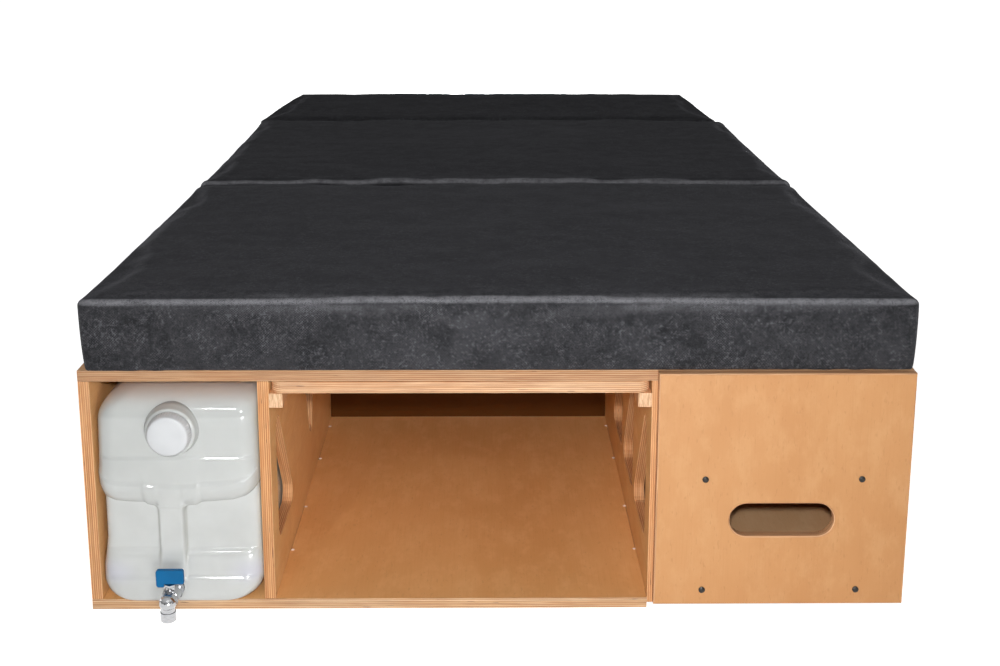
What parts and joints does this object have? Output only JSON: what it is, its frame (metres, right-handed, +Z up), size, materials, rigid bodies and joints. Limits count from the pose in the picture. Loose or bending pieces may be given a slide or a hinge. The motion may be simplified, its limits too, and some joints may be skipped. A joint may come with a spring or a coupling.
{
  "type": "van camping box",
  "caption": "Plywood camper box with a water canister bay, an open bay under a stowed table board, a drawer, and a slatted bed with a folding mattress pulled out behind",
  "frame": {"origin": "middle of the box's footprint, on the floor, under the bottom panel", "axes": "+X towards the drawer bay, +Y from the front towards the pulled-out bed, +Z up"},
  "size_m": [1.1126, 1.9635, 0.4513],
  "materials": {
    "birch_plywood": "clear satin lacquer",
    "velour": "dark grey velour",
    "polyethylene": "satin, natural white",
    "white_cap": "satin",
    "chrome": "polished",
    "zinc_steel": "zinc plated",
    "black_steel": "black",
    "blue_nylon": "satin blue",
    "rubber": "matte black"
  },
  "bodies": {
    "carcass": {"bottom_panel": "birch_plywood", "top_panel": "birch_plywood", "side_panel_left": "birch_plywood", "side_panel_right": "birch_plywood", "divider_left": "birch_plywood", "divider_right": "birch_plywood", "back_panel": "birch_plywood", "table_runner_left": "birch_plywood", "table_runner_right": "birch_plywood", "slide_outer_left": "zinc_steel", "slide_outer_right": "zinc_steel", "cushion_front": "velour"},
    "table": {"table_board": "birch_plywood"},
    "slide_middle": {"slide_middle_left": "zinc_steel", "slide_middle_right": "zinc_steel"},
    "drawer": {"drawer_front": "birch_plywood", "drawer_inner_front": "birch_plywood", "drawer_side_left": "birch_plywood", "drawer_side_right": "birch_plywood", "drawer_back": "birch_plywood", "drawer_bottom": "birch_plywood", "slide_inner_left": "zinc_steel", "slide_inner_right": "zinc_steel", "drawer_front_screw_1": "black_steel", "drawer_front_screw_2": "black_steel", "drawer_front_screw_3": "black_steel", "drawer_front_screw_4": "black_steel"},
    "canister": {"canister": "polyethylene", "tap_gasket": "rubber", "tap_backnut": "white_cap", "tap_body": "chrome", "tap_gland_nut": "chrome", "tap_nozzle": "chrome"},
    "cap": {"canister_cap": "white_cap"},
    "tap_lever": {"tap_lever": "blue_nylon", "tap_ball": "chrome"},
    "bed_stage_1": {"leg_panel_1": "birch_plywood", "stage_1_slat_1": "birch_plywood", "stage_1_slat_2": "birch_plywood", "stage_1_slat_3": "birch_plywood", "stage_1_slat_4": "birch_plywood", "stage_1_slat_5": "birch_plywood", "stage_1_slat_6": "birch_plywood"},
    "bed_stage_2": {"leg_panel_2": "birch_plywood", "stage_2_slat_1": "birch_plywood", "stage_2_slat_2": "birch_plywood", "stage_2_slat_3": "birch_plywood", "stage_2_slat_4": "birch_plywood", "stage_2_slat_5": "birch_plywood", "stage_2_slat_6": "birch_plywood"},
    "mattress_middle": {"cushion_middle": "velour"},
    "mattress_rear": {"cushion_rear": "velour"}
  },
  "joints": [
    {"name": "table_slide", "type": "slide", "parent": "carcass", "child": "table", "axis": [0, -1, 0], "range_m": [0, 0.5]},
    {"name": "drawer_slide", "type": "slide", "parent": "carcass", "child": "drawer", "axis": [0, -1, 0], "range_m": [0, 0.55]},
    {"name": "slide_middle_travel", "type": "slide", "parent": "carcass", "child": "slide_middle", "axis": [0, -1, 0], "range_m": [0, 0.275]},
    {"name": "canister_slide", "type": "slide", "parent": "carcass", "child": "canister", "axis": [0, -1, 0], "range_m": [0, 0.25]},
    {"name": "cap_turn", "type": "hinge", "parent": "canister", "child": "cap", "pos_m": [-0.43225, -0.385, 0.2653], "axis": [0, -1, 0], "range_deg": [0, 540]},
    {"name": "tap_lever_turn", "type": "hinge", "parent": "canister", "child": "tap_lever", "pos_m": [-0.43824, -0.408, 0.056], "axis": [0, 0, 1], "range_deg": [0, 90]},
    {"name": "bed_stage_1_slide", "type": "slide", "parent": "carcass", "child": "bed_stage_1", "axis": [0, 1, 0], "range_m": [-0.575, 0]},
    {"name": "bed_stage_2_slide", "type": "slide", "parent": "bed_stage_1", "child": "bed_stage_2", "axis": [0, 1, 0], "range_m": [-0.575, 0]},
    {"name": "mattress_fold", "type": "hinge", "parent": "carcass", "child": "mattress_middle", "pos_m": [0, 0.381, 0.4517], "axis": [-1, 0, 0], "range_deg": [-180, 0]},
    {"name": "mattress_tail_fold", "type": "hinge", "parent": "mattress_middle", "child": "mattress_rear", "pos_m": [0, 1.131, 0.345], "axis": [-1, 0, 0], "range_deg": [0, 180]}
  ],
  "couplings": [
    {"joint": "slide_middle_travel", "follows": "drawer_slide", "ratio": 0.5},
    {"joint": "mattress_tail_fold", "follows": "mattress_fold", "ratio": -1}
  ]
}
